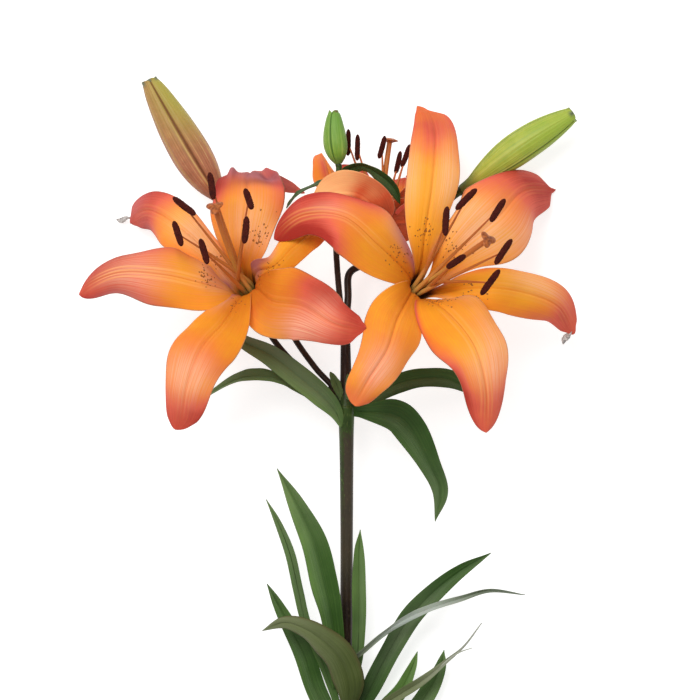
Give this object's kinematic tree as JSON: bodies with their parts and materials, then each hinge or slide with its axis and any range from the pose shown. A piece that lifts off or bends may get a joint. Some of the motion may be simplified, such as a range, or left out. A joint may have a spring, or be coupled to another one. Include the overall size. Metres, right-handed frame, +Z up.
{
  "type": "cut lily stem",
  "caption": "Cut stem of an orange lily laid on its back, with open blooms, buds, a whorl of leaves and a tuft of leaves near the cut end.",
  "frame": {"origin": "centre of the bounding box's bottom face, on the surface that the stem lies on, under the stem's middle", "axes": "+Y along the stem from its cut end towards the flowers, +Z up off the surface, +X to the right as seen from above with the flowers up"},
  "size_m": [0.2483, 0.3538, 0.1033],
  "materials": {
    "tepal": "satin petal, orange with a yellow throat and coral pink tips",
    "back_tepal": "satin petal, orange with a pink flush",
    "stamen": "smooth, golden with a green foot",
    "anther": "dull dark maroon pollen",
    "stem": "satin, dark purple brown, green near the whorl",
    "leaf": "waxy dark green with fine parallel veins",
    "bronze_leaf": "waxy olive turning bronze",
    "dry_leaf": "dull, dried, grey to brown",
    "blush_bud": "satin, tan pink with a yellow green tip",
    "green_bud": "satin yellow green"
  },
  "bodies": {
    "root": {"stem": "stem", "right_bloom_tepal_upright": "tepal", "right_bloom_tepal_top": "tepal", "right_bloom_tepal_left": "tepal", "right_bloom_tepal_lower_left": "tepal", "right_bloom_tepal_lower_right": "tepal", "right_bloom_tepal_right": "tepal", "right_bloom_pistil_and_filaments": "stamen", "right_bloom_anther_1": "anther", "right_bloom_anther_2": "anther", "right_bloom_anther_3": "anther", "right_bloom_anther_4": "anther", "right_bloom_anther_5": "anther", "right_bloom_anther_6": "anther", "left_bloom_tepal_upper_left": "tepal", "left_bloom_tepal_left": "tepal", "left_bloom_tepal_bottom": "tepal", "left_bloom_tepal_lower_right": "tepal", "left_bloom_tepal_upper_right": "tepal", "left_bloom_tepal_top": "tepal", "left_bloom_pistil_and_filaments": "stamen", "left_bloom_anther_1": "anther", "left_bloom_anther_2": "anther", "left_bloom_anther_3": "anther", "left_bloom_anther_4": "anther", "left_bloom_anther_5": "anther", "left_bloom_anther_6": "anther", "back_bloom_tepal_front": "back_tepal", "back_bloom_tepal_left": "back_tepal", "back_bloom_tepal_floor_left": "back_tepal", "back_bloom_tepal_floor_right": "back_tepal", "back_bloom_tepal_right": "back_tepal", "back_bloom_tepal_front_right": "back_tepal", "back_bloom_pistil_and_filaments": "stamen", "back_bloom_anther_1": "anther", "back_bloom_anther_2": "anther", "back_bloom_anther_3": "anther", "back_bloom_anther_4": "anther", "back_bloom_anther_5": "anther", "back_bloom_anther_6": "anther", "left_bud": "blush_bud", "middle_bud": "green_bud", "right_bud": "green_bud", "leaf_whorl_left": "leaf", "leaf_whorl_far_left": "leaf", "leaf_whorl_right": "leaf", "leaf_whorl_lower_right": "leaf", "leaf_bract_right": "leaf", "leaf_bract_left": "leaf", "leaf_tall_left": "leaf", "leaf_thin_left": "leaf", "leaf_low_left": "leaf", "leaf_bronze_front": "bronze_leaf", "leaf_slim_right": "leaf", "leaf_broad_right": "leaf", "leaf_dry_right": "dry_leaf", "leaf_short_right": "leaf", "leaf_outer_right": "leaf", "leaf_withered_right": "dry_leaf"}
  },
  "joints": []
}
